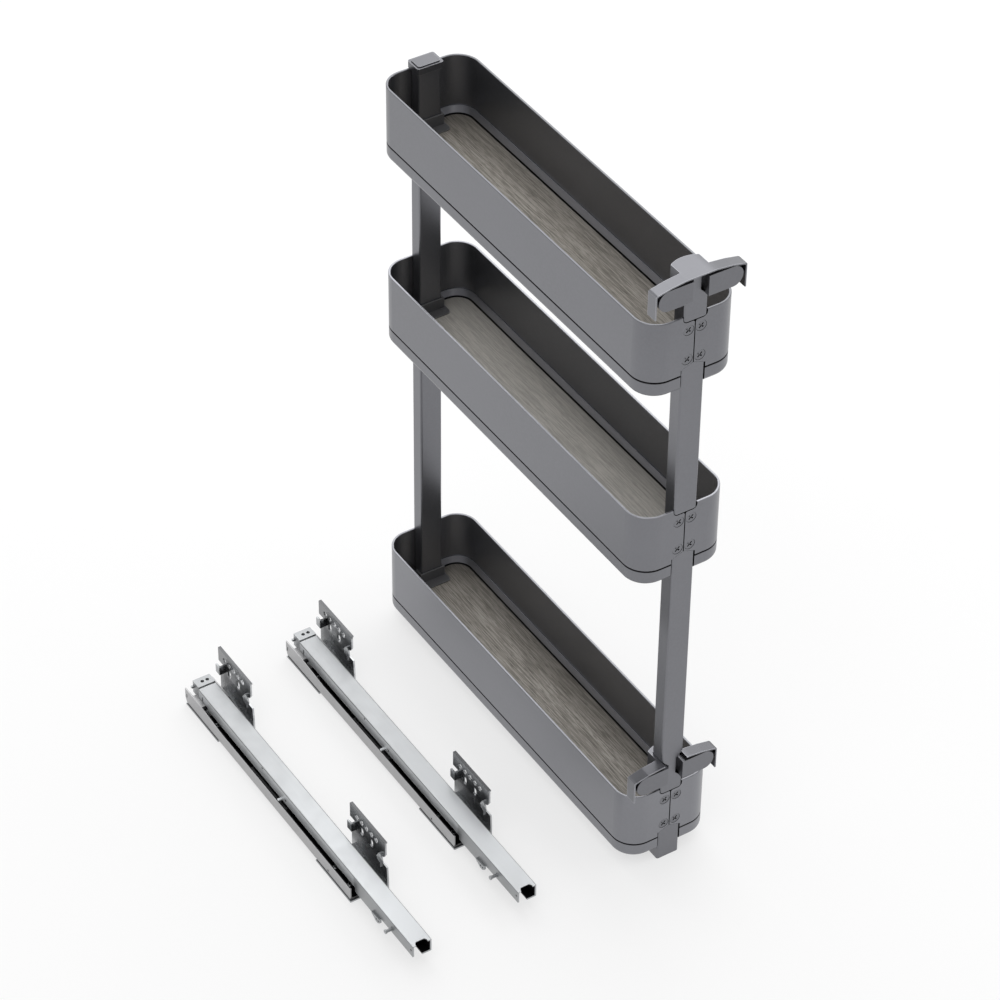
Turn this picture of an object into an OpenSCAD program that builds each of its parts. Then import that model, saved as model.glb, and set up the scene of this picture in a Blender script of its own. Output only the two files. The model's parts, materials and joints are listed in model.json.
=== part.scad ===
// Pull-out bottle rack: three wood-floored baskets on two flat posts, with door fittings,
// and the pair of ball-cage runners that carry it. Millimetres, +Z up, front towards -Y.
// The origin is the middle of the five holes in the right runner's rear bracket.

/* [Baskets] */
// Width across each basket.
basket_width = 100; // [92:1:112]
// Depth of each basket, front face to rear face.
basket_depth = 460; // [420:5:480]
// Outer radius of the basket corners.
corner_radius = 24.4; // [22:0.2:27]
// Height of the top rim above the foot of the front post.
top_rim = 671; // [650:1:700]
// Height of the middle rim above the foot.
middle_rim = 450; // [420:1:480]
// Height of the bottom rim above the foot.
bottom_rim = 95; // [90:1:105]
// Height of the sheet band.
band_height = 63.6; // [62:0.2:66]
// Thickness of the sheet band.
band_thickness = 2.5; // [2.2:0.1:2.8]
// Shadow gap between the band and the tray under it.
tray_gap = 1.6; // [1:0.1:2.2]
// Depth from a rim to the underside of its tray.
basket_height = 81; // [80:0.5:85]
// Radius of the tray's bottom edge.
tray_edge_radius = 5; // [3:0.5:7]
// Thickness of the wood floor panel.
panel_thickness = 4; // [3:0.5:5]
// Depth from a rim to the top of the floor panel.
floor_depth = 64; // [62:0.5:66]

/* [Posts] */
// Width of each flat post.
post_width = 25; // [23:0.5:26]
// Depth of each flat post.
post_depth = 16; // [15:0.5:18]
// Radius of the post's long edges.
post_edge_radius = 2; // [1.5:0.1:2.5]
// Thickness of the post's side walls.
post_wall = 1.5; // [1.2:0.1:1.8]
// Height of the raised end of the rear post above the top rim.
rear_post_rise = 6; // [5:0.5:9]

/* [Band joint] */
// Clearance between a post and the sheet beside it.
post_side_gap = 0.7; // [0.5:0.1:0.9]
// Gap between the two tongues on the front post.
tongue_split = 1.2; // [0.8:0.1:1.6]
// Depth from the rim to the top of the tongues.
tongue_top_depth = 7; // [6.4:0.1:8]
// Depth from the rim to the tongues' lower edge at the split.
tongue_low_depth = 53.5; // [53:0.1:55]
// Drop of the tongues' lower edge from the split to their root.
tongue_slant = 5; // [4:0.5:6]
// Fillet at the root of each tongue.
tongue_fillet = 5; // [4:0.5:5.5]
// Radius of each tongue's free corner.
tongue_corner = 2; // [1:0.5:3]
// Screw spacing across the post.
screw_spacing = 13.6; // [13.2:0.1:13.8]
// Depth from the rim to the upper screws.
upper_screw_depth = 15.7; // [15:0.1:17]
// Depth from the rim to the lower screws.
lower_screw_depth = 48.2; // [47:0.1:48.5]
// Diameter of the screw heads.
screw_head_diameter = 11; // [10:0.1:11.2]
// Thickness of the screw heads.
screw_head_thickness = 1.3; // [1.1:0.1:1.4]
// Diameter of the screw shanks.
screw_shank_diameter = 4.8; // [4:0.1:5]

/* [Door fittings] */
// Height of the upper lugs' lower edge above the top rim.
lug_rise = 20; // [19:0.5:22]
// Height of the lower lugs' lower edge above the bottom rim.
lower_lug_rise = 10.8; // [10:0.2:14]
// Height of each lug.
lug_height = 21.7; // [20.5:0.1:22]
// Distance from the middle to the tip of a lug.
lug_reach = 44.5; // [43:0.5:46]
// Distance from the middle to a lug's inner end.
lug_start = 8.3; // [7.8:0.1:8.8]
// How far the lugs stand in front of the post.
lug_stand = 6.4; // [6:0.1:7]
// Half width of the neck left in the post's front.
neck_half = 4; // [3.5:0.1:4.5]
// Thickness of the hood's sheet.
hood_thickness = 1.3; // [1.2:0.1:1.5]
// Half width of the hood.
hood_half = 48; // [47.5:0.5:50]
// Depth of the hood's wings behind the post's front face.
hood_back = 5.6; // [5.4:0.1:7]
// Depth of the hood's rounded back behind the post's front face.
hood_bump = 24.2; // [23:0.1:26]

/* [Runners] */
// Length of the cabinet rail.
rail_length = 332.3; // [320:0.1:350]
// Width of the cabinet rail.
rail_width = 32.6; // [32.6:0.1:33.4]
// Height of the cabinet rail's walls above the bracket's underside.
rail_height = 17; // [16.6:0.1:17.4]
// Sheet thickness of the rails.
rail_sheet = 1.5; // [1.3:0.1:1.6]
// Length of the drawer rail.
slide_length = 421; // [400:0.5:430]
// Width of the drawer rail.
slide_width = 21; // [20.6:0.1:21.4]
// Height of the drawer rail's top face.
slide_top = 30.9; // [30.4:0.1:31.5]
// Height of the drawer rail's left flange.
flange_height = 14.3; // [13.8:0.1:14.6]
// Length of the end block's visible part.
end_block_length = 12.7; // [11:0.1:14]
// Pull-out travel of the rack.
travel = 260; // [200:5:265]
// Number of balls in each cage.
ball_count = 5; // [3:1:5]

/* [Brackets] */
// Sheet thickness of the brackets.
bracket_sheet = 1.8; // [1.5:0.1:2]
// Length of each bracket along the rail.
bracket_length = 67; // [64:1:70]
// Height of each bracket.
bracket_height = 59.7; // [58:0.1:64]
// Distance from the rail's left face to the bracket plate.
plate_offset = 39.1; // [38.5:0.1:41]
// Width of the lip folded over at the top of the plate.
top_lip = 3.2; // [2.8:0.1:5]
// Spacing of the screw holes in the plate.
hole_pitch = 9.2; // [9:0.1:9.5]
// Radius of the screw holes in the plate.
hole_radius = 2.3; // [2:0.1:2.5]
// Height of the row of screw holes.
hole_height = 50.5; // [50:0.5:52]

/* [Layout] */
// Distance from the rack's middle to the right runner's left face.
right_runner_x = 175; // [170:1:260]
// Distance between the left faces of the two runners.
runner_spacing = 123.5; // [110:0.5:200]
// Rear end of the right runner's bracket, behind the rack's front.
right_runner_y = 449; // [430:1:460]
// How far the left runner lies in front of the right one.
runner_stagger = 7.5; // [0:0.5:20]

/* [Hidden] */
cut = 1;
curve = 64;
fine = 32;
half = 1 / 2;
hole_count = 5;
first_hole_inset = 13.2;
slot_inset_pitches = [1, 3];

rims = [top_rim, middle_rim, bottom_rim];
right_runner = [-right_runner_x, right_runner_y, 0];
left_runner = [-right_runner_x - runner_spacing, right_runner_y - runner_stagger, 0];
bracket_rear_inset = 1.5;
origin_point = [
  right_runner[0] + plate_offset + bracket_sheet,
  right_runner[1] - bracket_rear_inset - first_hole_inset - hole_pitch * (hole_count - 1) / 2,
  hole_height
];

// Posts.
post_half = post_width * half;
joint_half = post_half + post_side_gap;
pocket_wall = 1.5;
thick_wall = band_thickness + pocket_wall;
seat_clearance = 0.3;
rear_face = basket_depth - post_depth;

// Screws.
screw_half = screw_spacing * half;
head_radius = screw_head_diameter * half;
head_clearance = 0.3;
head_sink = 0.3;
shank_radius = screw_shank_diameter * half;
shank_clearance = 0.1;
shank_length = 9;
cross_arm = 6.4;
cross_width = 1.5;
cross_depth = 0.8;

// Tray and floor panel.
tray_side = band_height + tray_gap;
lip_clearance = 0.3;
lip_inset = band_thickness + lip_clearance;
lip_rise = 7;
lip_edge = 0.8;
ledge_width = 3.4;
recess_inset = lip_inset + ledge_width;
panel_gap = 1.2;
panel_sink = 1;
panel_top = floor_depth + panel_sink;
panel_depth = panel_top + panel_thickness;
rim_round = 0.8;
tray_post_gap = 0.6;
tray_top_round = 0.9;
post_seat = 4;

// Collar round the rear post.
collar_sheet = 1.8;
collar_fit = 0.2;
collar_height = 12.5;
collar_flange = 1.2;
collar_front = 11;
collar_overhang = 1.6;
collar_corner = 5;

// Cap.
cap_wall = 2;
cap_fit = 0.15;
cap_top = 1.5;
cap_rise = 0.4;
cap_pad_inset = 2.2;
cap_pad_rise = 1.1;
cap_corner = 2.4;

// Door fittings.
lug_low = top_rim + lug_rise;
lower_lug_low = bottom_rim + lower_lug_rise;
lug_round = lug_height * half;
lug_back = 3.8;
stub_back = 7.5;
stub_reach = post_half - 0.2;
notch_clear = 0.5;
notch_drop = lug_start - neck_half + notch_clear * 2;
notch_slope = post_half - neck_half;
hood_rise = 4.6;
hood_shoulder = 2;
hood_end = 5.1;
hood_corner = 1.7;
hood_crease = 16;
hood_knee = 32;
hood_lip = 0.2;
hood_skirt = 5;
bump_half = 15;
bump_swell = 4.2;
hood_gap = 0.25;
hood_reach = lug_stand + hood_lip + post_depth;
post_top = lug_low + lug_height + hood_rise - hood_thickness;
upper_notch_top = 24;
left_notch_drop = 5.8;

// Runner.
rail_floor = bracket_sheet + rail_sheet;
slide_left = 5.4;
slide_right = slide_left + slide_width;
slide_rear = 19.2;
slide_bottom = 14.9;
slide_lip = 10.4;
bend = 1;
flange_low = slide_top - flange_height;
rail_end_inset = -0.8;
stop_gap = 0.8;
stop_length = 36;
stop_drop = 5.6;
nose_length = 4.5;
ball_clearance = 0.1;
ball_radius = (slide_bottom - rail_floor) * half - ball_clearance;
ball_x = slide_right - slide_lip * half;
ball_space = 2.2;
ball_pitch = 2 * ball_radius + ball_space;
cage_margin = 1.2;
cage_length = ball_count * ball_pitch + 2 * cage_margin;
cage_side_gap = 0.6;
cage_top_gap = 1;
cage_rear = travel * half + 1;
cage_ball_gap = 0.2;
cage_window_margin = 2.4;
cage_window_side = 3.6;
bracket_front_stand = 2;
bracket_front = rail_length + rail_end_inset + bracket_front_stand - bracket_length;
bracket_starts = [bracket_rear_inset, bracket_front];

// Cabinet rail's raised rear end, its web and slot, and the rivets in its floor.
rail_step = 3.2;
rail_step_length = 76;
rail_step_share = 0.49;
rail_cut_rise = 6.4;
rail_cut_run = 3.4;
rail_bend = 1.2;
rail_web_start = 14;
rail_web_length = 24;
rail_web_gap = 0.5;
rail_slot_radius = 1.1;
rail_slot_travel = 3.6;
rail_slot_inset = 3.3;
rail_slot_rise = 7.6;
rail_mark_share = 0.87;
rail_mark_rise = 3.9;
rail_mark_radius = 1.3;
rivet_radius = 2.2;
rivet_head = 3;
rivet_crown = 1.6;
rivet_rise = 0.7;
rivet_length_shares = [0.3, 0.72];
rivet_side_share = 0.3;

// Bracket plate.
foot_stand = 0.8;
tab_depth = 12;
tab_low = 34.5;
tab_high = 42;
tab_top = 45;
tab_out = 6.8;
tab_run = 7.8;
plate_rear_inset = 2.8;
plate_lip_inset = 1;
plate_corner = 2;
curl_reach = 2.6;
front_notch_low = 29;
front_notch_high = 44;
front_notch_depth = 7.5;
front_notch_depth_shares = [0.33, 0.87, 0.93];
front_notch_height_shares = [0.3, 0.57, 0.7];
curl_width = 4.6;
curl_low = 22;
curl_high = 41;
curl_width_shares = [0.3, 0.42];
curl_height_shares = [0.32, 0.75, 0.88];
hole_bevel = 1.1;
hole_bevel_depth = 0.8;
slot_radius = 1.9;
slot_travel = 4.4;
slot_height = 38.5;

// Drawer rail's cut front end and side holes.
nose_width_shares = [0.17, 0.28, 0.72, 0.8];
nose_depth_shares = [0.3, 0.5];
slide_hole_radius = 1.2;
slide_hole_inset = 3.2;
slide_slot_radius = 1;
slide_slot_travel = 4.2;
slide_slot_inset = 7.9;
slide_slot_drop = 7.6;
dimple_share = 0.312;
dimple_drop = 3.2;
tab_hole_share = 0.422;
tab_hole_drop = 9.8;
tab_hole_radius = 1.6;
wing_share = 0.408;
wing_length = 2.6;
wing_stand = 4.6;
wing_rise = 1;

// End block, its nose inside the rail and its spur.
block_left = slide_left + rail_sheet;
block_width = slide_right - block_left;
block_low = 15.2;
block_gap = 2.6;
block_nose = 12;
block_hole = 2;
block_hole_depth = 4;
block_hole_shares = [0.4, 0.7];
spur = 2.5;
spur_drop_share = 0.6;

// Catch pin and stop latch.
pin_radius = 1.7;
pin_head = 2.3;
pin_reach = 8.2;
pin_inset = 38;
pin_drop = 9;
pin_distance = slide_rear + slide_length - pin_inset;
pin_height = slide_top - pin_drop;
latch_length = 15;
latch_height = 6;
latch_thick = 2.6;
latch_overlap = 1;
latch_rise = 1;
latch_tip = 2;
latch_heel = 1.5;
latch_length_shares = [0.55, 0.8];
latch_eye = 1.1;
latch_eye_shares = [0.62, 0.86];
latch_eye_drop = 2.4;
latch_eye_depth = 1.8;

rack_paint = [0.47, 0.47, 0.48];
fitting_grey = [0.5, 0.5, 0.51];
wood = [0.45, 0.42, 0.38];
zinc = [0.78, 0.8, 0.82];
dark_plastic = [0.08, 0.08, 0.09];

// Moves the model so that the mounting holes are at the origin.
module rack() {
  translate(-origin_point) children();
}

module on_left() {
  translate(left_runner - origin_point) children();
}

module on_right() {
  translate(right_runner - origin_point) children();
}

// A slab with the basket's outline, moved in from the outer face.
module slab(inset, low, high) {
  r = corner_radius - inset;
  w = basket_width * half - corner_radius;
  for (sx = [-1, 1], y = [corner_radius, basket_depth - corner_radius])
    translate([sx * w, y, low])
      cylinder(h = high - low, r = r, $fn = curve);
  translate([-w - r, corner_radius, low])
    cube([2 * (w + r), basket_depth - 2 * corner_radius, high - low]);
  translate([-w, inset, low])
    cube([2 * w, basket_depth - 2 * inset, high - low]);
}

// Carries a section round the basket: x is the inset from the outer face, y is the height.
module around() {
  w = basket_width * half - corner_radius;
  l = basket_depth - 2 * corner_radius;
  for (side = [0, 1], end = [0, 1])
    mirror([side, 0, 0])
      translate([w, corner_radius + end * l, 0])
        mirror([0, 1 - end, 0])
          rotate_extrude(angle = 90, $fn = curve)
            translate([corner_radius, 0])
              mirror([1, 0])
                children();
  translate([w + corner_radius, corner_radius + l, 0])
    rotate([90, 0, 0])
      linear_extrude(l)
        mirror([1, 0])
          children();
  translate([-w - corner_radius, corner_radius + l, 0])
    rotate([90, 0, 0])
      linear_extrude(l)
        children();
  translate([-w, 0, 0])
    rotate([90, 0, 90])
      linear_extrude(2 * w)
        children();
  translate([-w, basket_depth, 0])
    rotate([90, 0, 90])
      linear_extrude(2 * w)
        mirror([1, 0])
          children();
}

// Waste outside a rounded edge, in the corner below and right of the point.
module edge_waste(r) {
  difference() {
    translate([-cut, -r])
      square([cut + r, r + cut]);
    translate([r, -r])
      circle(r = r, $fn = fine);
  }
}

// Draws a front view shape as a plate from one depth to another.
module facing(front, back) {
  translate([0, back, 0])
    rotate([90, 0, 0])
      linear_extrude(back - front)
        children();
}

// The post's face above the tongues, with rounded lower corners.
module upper_face(half_width, low, r) {
  translate([-half_width, low + r])
    square([2 * half_width, tongue_top_depth + cut]);
  translate([-half_width + r, low])
    square([2 * (half_width - r), r + cut]);
  for (sx = [-1, 1])
    translate([sx * (half_width - r), low + r])
      circle(r = r, $fn = fine);
}

// What is cut from the front of the band to leave its two tongues.
module joint_waste() {
  s = tongue_split * half;
  c = tongue_corner;
  upper_face(joint_half, -tongue_top_depth, tongue_fillet);
  difference() {
    translate([-s - c, -tongue_top_depth - c])
      square([2 * (s + c), c + cut]);
    for (sx = [-1, 1])
      translate([sx * (s + c), -tongue_top_depth - c])
        circle(r = c, $fn = fine);
  }
  translate([-s, -band_height - cut])
    square([2 * s, band_height + cut - tongue_top_depth]);
  polygon([
    [-joint_half, -tongue_low_depth - tongue_slant],
    [0, -tongue_low_depth],
    [joint_half, -tongue_low_depth - tongue_slant],
    [joint_half, -band_height - cut],
    [-joint_half, -band_height - cut]
  ]);
}

// The pocket in the post's face that takes the tongues.
module joint_pocket() {
  difference() {
    polygon([
      [-joint_half, -tongue_low_depth - tongue_slant - seat_clearance],
      [0, -tongue_low_depth - seat_clearance],
      [joint_half, -tongue_low_depth - tongue_slant - seat_clearance],
      [joint_half, -tongue_split],
      [-joint_half, -tongue_split]
    ]);
    upper_face(post_half, tongue_split - tongue_top_depth, tongue_fillet - tongue_split);
    for (sx = [-1, 1])
      translate([sx * (post_half + post_side_gap * half) - post_side_gap, tongue_fillet - tongue_top_depth])
        square([2 * post_side_gap, tongue_top_depth]);
  }
}

// Runs its children at the four screws of a rim: straight in from the front.
module at_screws(rim) {
  for (sx = [-1, 1], d = [upper_screw_depth, lower_screw_depth])
    translate([sx * screw_half, 0, rim - d])
      rotate([-90, 0, 0])
        children();
}

// Turns the front of the basket into its rear.
module at_rear() {
  translate([0, basket_depth, 0])
    mirror([0, 1, 0])
      children();
}

module screw_seat() {
  translate([0, 0, -cut])
    cylinder(h = cut + head_sink + screw_head_thickness, r = head_radius + head_clearance, $fn = fine);
  translate([0, 0, -cut])
    cylinder(h = 2 * cut + thick_wall, r = shank_radius + shank_clearance, $fn = fine);
}

module screw() {
  difference() {
    union() {
      translate([0, 0, head_sink])
        cylinder(h = screw_head_thickness, r = head_radius, $fn = fine);
      translate([0, 0, head_sink])
        cylinder(h = shank_length, r = shank_radius, $fn = fine);
    }
    for (a = [45, 135])
      rotate([0, 0, a])
        translate([-cross_arm * half, -cross_width * half, 0])
          cube([cross_arm, cross_width, cross_depth + head_sink]);
  }
}

module post_blank(low, high) {
  r = post_edge_radius;
  for (sx = [-1, 1], y = [r, post_depth - r])
    translate([sx * (post_half - r), y, low])
      cylinder(h = high - low, r = r, $fn = fine);
  translate([-post_half, r, low])
    cube([post_width, post_depth - 2 * r, high - low]);
  translate([-post_half + r, 0, low])
    cube([post_width - 2 * r, post_depth, high - low]);
}

module post_hollow(low, high) {
  translate([-post_half + post_wall, thick_wall, low])
    cube([post_width - 2 * post_wall, post_depth - thick_wall - post_wall, high - low]);
}

// The side notch that lets a lug through, with sloped shoulders that leave a neck.
module notch_outline(low, high, closed) {
  top = closed ? high : high + cut;
  polygon([
    [neck_half, low],
    [post_half + cut, low - notch_slope - cut],
    [post_half + cut, closed ? top + notch_slope + cut : top],
    [neck_half, top]
  ]);
}

module lug_notches(low, high, left_drop, closed) {
  for (sx = [0, 1])
    mirror([sx, 0, 0])
      facing(-cut, stub_back + notch_clear)
        notch_outline(low, high - sx * left_drop, closed);
}

module front_post() {
  notch_low = lug_low + notch_drop - notch_clear;
  lower_notch_low = lower_lug_low + notch_drop - notch_clear;
  color(rack_paint) rack()
    difference() {
      post_blank(0, post_top);
      post_hollow(-cut, post_top + cut);
      for (rim = rims) {
        translate([0, 0, rim])
          facing(-cut, band_thickness)
            joint_pocket();
        at_screws(rim)
          cylinder(h = thick_wall + cut, r = shank_radius + shank_clearance, $fn = fine);
      }
      lug_notches(notch_low, post_top, 0, false);
      lug_notches(lower_notch_low, lower_lug_low + upper_notch_top, left_notch_drop, true);
    }
}

module rear_post() {
  low = bottom_rim - basket_height + post_seat;
  high = top_rim + rear_post_rise;
  color(rack_paint) rack()
    difference() {
      at_rear()
        post_blank(low, high);
      at_rear()
        post_hollow(low - cut, high + cut);
      for (rim = rims) {
        translate([-post_half - cut, basket_depth - band_thickness, rim - band_height - seat_clearance])
          cube([post_width + 2 * cut, band_thickness + cut, band_height + 2 * seat_clearance]);
        at_rear()
          at_screws(rim)
            cylinder(h = thick_wall + cut, r = shank_radius + shank_clearance, $fn = fine);
      }
    }
}

module cap_block(grow, low, high, r) {
  hx = post_half + grow;
  y0 = rear_face - grow;
  y1 = basket_depth + grow;
  for (sx = [-1, 1], y = [y0 + r, y1 - r])
    translate([sx * (hx - r), y, low])
      cylinder(h = high - low, r = r, $fn = fine);
  translate([-hx, y0 + r, low])
    cube([2 * hx, y1 - y0 - 2 * r, high - low]);
  translate([-hx + r, y0, low])
    cube([2 * (hx - r), y1 - y0, high - low]);
}

module rear_post_cap() {
  ceiling = top_rim + rear_post_rise;
  color(rack_paint) rack()
    difference() {
      union() {
        cap_block(cap_wall, top_rim + cap_rise, ceiling + cap_top, cap_corner);
        cap_block(cap_wall - cap_pad_inset, ceiling, ceiling + cap_top + cap_pad_rise, cap_corner);
      }
      cap_block(cap_fit, top_rim + cap_rise - cut, ceiling, post_edge_radius * half);
    }
}

module band(rim) {
  difference() {
    slab(0, rim - band_height, rim);
    slab(band_thickness, rim - band_height - cut, rim + cut);
    around()
      translate([0, rim])
        edge_waste(rim_round);
    around()
      translate([band_thickness, rim])
        mirror([1, 0])
          edge_waste(rim_round);
    translate([0, 0, rim])
      facing(-cut, band_thickness + cut)
        joint_waste();
    at_screws(rim)
      screw_seat();
    at_rear()
      at_screws(rim)
        screw_seat();
  }
}

module tray(rim, blind) {
  side = post_half + tray_post_gap;
  deep = post_depth + tray_post_gap;
  low = rim - basket_height;
  difference() {
    union() {
      slab(0, low, rim - tray_side);
      slab(lip_inset, low + cut, rim - floor_depth + lip_rise);
    }
    slab(recess_inset, rim - panel_depth, rim);
    around()
      polygon([
        [lip_inset + lip_edge, rim - floor_depth + lip_rise],
        [lip_inset + lip_edge, rim + cut],
        [corner_radius * half, rim + cut],
        [corner_radius * half, rim - floor_depth],
        [recess_inset, rim - floor_depth]
      ]);
    around()
      translate([0, low])
        mirror([0, 1])
          edge_waste(tray_edge_radius);
    around()
      translate([0, rim - tray_side])
        edge_waste(tray_top_round);
    translate([-side, -cut, low - cut])
      cube([2 * side, deep + cut, basket_height + cut]);
    translate([-side, basket_depth - deep, blind ? low + post_seat : low - cut])
      cube([2 * side, deep + cut, basket_height + cut]);
  }
}

module floor_panel(rim) {
  side = post_half + panel_gap;
  deep = post_depth + panel_gap;
  difference() {
    slab(recess_inset + panel_gap, rim - panel_depth, rim - panel_top);
    translate([-side, -cut, rim - panel_depth - cut])
      cube([2 * side, deep + cut, panel_thickness + 2 * cut]);
    translate([-side, basket_depth - deep, rim - panel_depth - cut])
      cube([2 * side, deep + cut, panel_thickness + 2 * cut]);
  }
}

module post_collar(rim) {
  inner = post_half + collar_fit;
  outer = inner + collar_sheet;
  wide = outer + collar_overhang;
  front = rear_face - collar_fit - collar_sheet;
  back = basket_depth - recess_inset - panel_gap;
  floor_z = rim - panel_top;
  difference() {
    union() {
      translate([-outer, front, floor_z])
        cube([2 * outer, back - front, collar_height]);
      translate([-wide, front - collar_front + collar_corner, floor_z])
        cube([2 * wide, back - front + collar_front - collar_corner, collar_flange]);
      translate([-wide + collar_corner, front - collar_front, floor_z])
        cube([2 * (wide - collar_corner), collar_front, collar_flange]);
      for (sx = [-1, 1])
        translate([sx * (wide - collar_corner), front - collar_front + collar_corner, floor_z])
          cylinder(h = collar_flange, r = collar_corner, $fn = fine);
    }
    translate([-inner, front + collar_sheet, floor_z - cut])
      cube([2 * inner, basket_depth, collar_height + 2 * cut]);
  }
}

module band_screws(rim) {
  at_screws(rim)
    screw();
  at_rear()
    at_screws(rim)
      screw();
}

module top_band() {
  color(rack_paint) rack() band(top_rim);
}

module middle_band() {
  color(rack_paint) rack() band(middle_rim);
}

module bottom_band() {
  color(rack_paint) rack() band(bottom_rim);
}

module top_tray() {
  color(rack_paint) rack() tray(top_rim, false);
}

module middle_tray() {
  color(rack_paint) rack() tray(middle_rim, false);
}

module bottom_tray() {
  color(rack_paint) rack() tray(bottom_rim, true);
}

module top_floor_panel() {
  color(wood) rack() floor_panel(top_rim);
}

module middle_floor_panel() {
  color(wood) rack() floor_panel(middle_rim);
}

module bottom_floor_panel() {
  color(wood) rack() floor_panel(bottom_rim);
}

module top_post_collar() {
  color(fitting_grey) rack() post_collar(top_rim);
}

module middle_post_collar() {
  color(fitting_grey) rack() post_collar(middle_rim);
}

module bottom_post_collar() {
  color(fitting_grey) rack() post_collar(bottom_rim);
}

module top_band_screws() {
  color(rack_paint) rack() band_screws(top_rim);
}

module middle_band_screws() {
  color(rack_paint) rack() band_screws(middle_rim);
}

module bottom_band_screws() {
  color(rack_paint) rack() band_screws(bottom_rim);
}

// Two rounded lugs on stubs, joined by a web behind the neck of the post.
module door_bracket(low) {
  tip = lug_reach - lug_round;
  for (sx = [0, 1])
    mirror([sx, 0, 0]) {
      translate([lug_start, -lug_stand, low])
        cube([tip - lug_start, lug_stand + lug_back, lug_height]);
      translate([tip, lug_back, low + lug_round])
        rotate([90, 0, 0])
          cylinder(h = lug_stand + lug_back, r = lug_round, $fn = curve);
      translate([lug_start, -lug_stand, low])
        cube([stub_reach - lug_start, lug_stand + stub_back, lug_height]);
    }
  translate([-lug_start - cut, thick_wall, low])
    cube([2 * (lug_start + cut), stub_back - thick_wall, lug_height]);
}

// The hood's side line: flat over the post, sloping down along the wings.
module hood_line(drop, grow) {
  top = lug_height + hood_rise - drop;
  polygon([
    [-hood_half + grow, -hood_skirt],
    [-hood_half + grow, lug_height - hood_corner - drop],
    [-hood_half + hood_shoulder + grow * half, top - hood_end],
    [-hood_knee, top - hood_shoulder],
    [-hood_crease, top],
    [hood_crease, top],
    [hood_knee, top - hood_shoulder],
    [hood_half - hood_shoulder - grow * half, top - hood_end],
    [hood_half - grow, lug_height - hood_corner - drop],
    [hood_half - grow, -hood_skirt]
  ]);
}

// The rounded housing behind the post, seen from above.
module bump_block(inset, low, high) {
  half_w = bump_half - inset;
  reach = hood_bump - inset;
  big = (bump_half * bump_half + bump_swell * bump_swell) / (2 * bump_swell) - inset;
  intersection() {
    translate([-half_w, 0, low])
      cube([2 * half_w, reach, high - low]);
    translate([0, reach - big, low - cut])
      cylinder(h = high - low + 2 * cut, r = big, $fn = 2 * curve);
  }
}

module bracket_hood(low, open) {
  t = hood_thickness;
  ceiling = lug_height + hood_rise - t;
  translate([0, 0, low])
    difference() {
      union() {
        facing(-lug_stand - hood_lip, hood_back)
          hood_line(0, 0);
        bump_block(0, 0, lug_height + hood_rise);
      }
      facing(-lug_stand - hood_lip - cut, hood_back - t)
        hood_line(t, t);
      translate([-hood_half + t, -lug_stand - hood_lip - cut, -hood_skirt - cut])
        cube([2 * (hood_half - t), lug_stand + hood_back + cut * 2, hood_skirt + cut]);
      bump_block(t, -cut, ceiling);
      translate([-bump_half + t, -cut, -cut])
        cube([2 * (bump_half - t), hood_back + cut, ceiling + cut]);
      if (open)
        translate([-post_half - hood_gap, -lug_stand - hood_lip - cut, -cut])
          cube([post_width + 2 * hood_gap, hood_reach + cut + hood_gap, 2 * lug_height]);
    }
}

module top_door_bracket() {
  color(fitting_grey) rack() door_bracket(lug_low);
}

module bottom_door_bracket() {
  color(fitting_grey) rack() door_bracket(lower_lug_low);
}

module top_bracket_hood() {
  color(fitting_grey) rack() bracket_hood(lug_low, false);
}

module bottom_bracket_hood() {
  color(fitting_grey) rack() bracket_hood(lower_lug_low, true);
}

// Runner parts: x from the rail's left face, y forward from the bracket's rear end.
module lengthwise(from, to) {
  translate([0, -from, 0])
    rotate([90, 0, 0])
      linear_extrude(to - from)
        children();
}

// A side view shape made into a wall: outline x is the distance forward.
module side_wall(left, thick) {
  translate([left, 0, 0])
    rotate([90, 0, 90])
      linear_extrude(thick)
        mirror([1, 0])
          children();
}

// An upright slot through a side wall, centred on its middle.
module upright_slot(r, travel) {
  translate([-cut, 0, 0])
    rotate([90, 0, 90])
      linear_extrude(rail_sheet + 2 * cut) {
        translate([0, -travel * half])
          circle(r = r, $fn = fine);
        translate([0, travel * half])
          circle(r = r, $fn = fine);
        translate([-r, -travel * half])
          square([2 * r, travel]);
      }
}

module rail_wall_outline() {
  a = rail_end_inset;
  end = rail_end_inset + rail_length;
  polygon([
    [a + rail_cut_run, bracket_sheet],
    [a, bracket_sheet + rail_cut_rise],
    [a, rail_height + rail_step],
    [a + rail_step_length * rail_step_share, rail_height + rail_step],
    [a + rail_step_length, rail_height],
    [end, rail_height],
    [end, bracket_sheet]
  ]);
}

module rivet_spots() {
  for (s = bracket_starts, k = rivet_length_shares)
    translate([rail_width * rivet_side_share, -s - bracket_length * k, 0])
      children();
}

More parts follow.
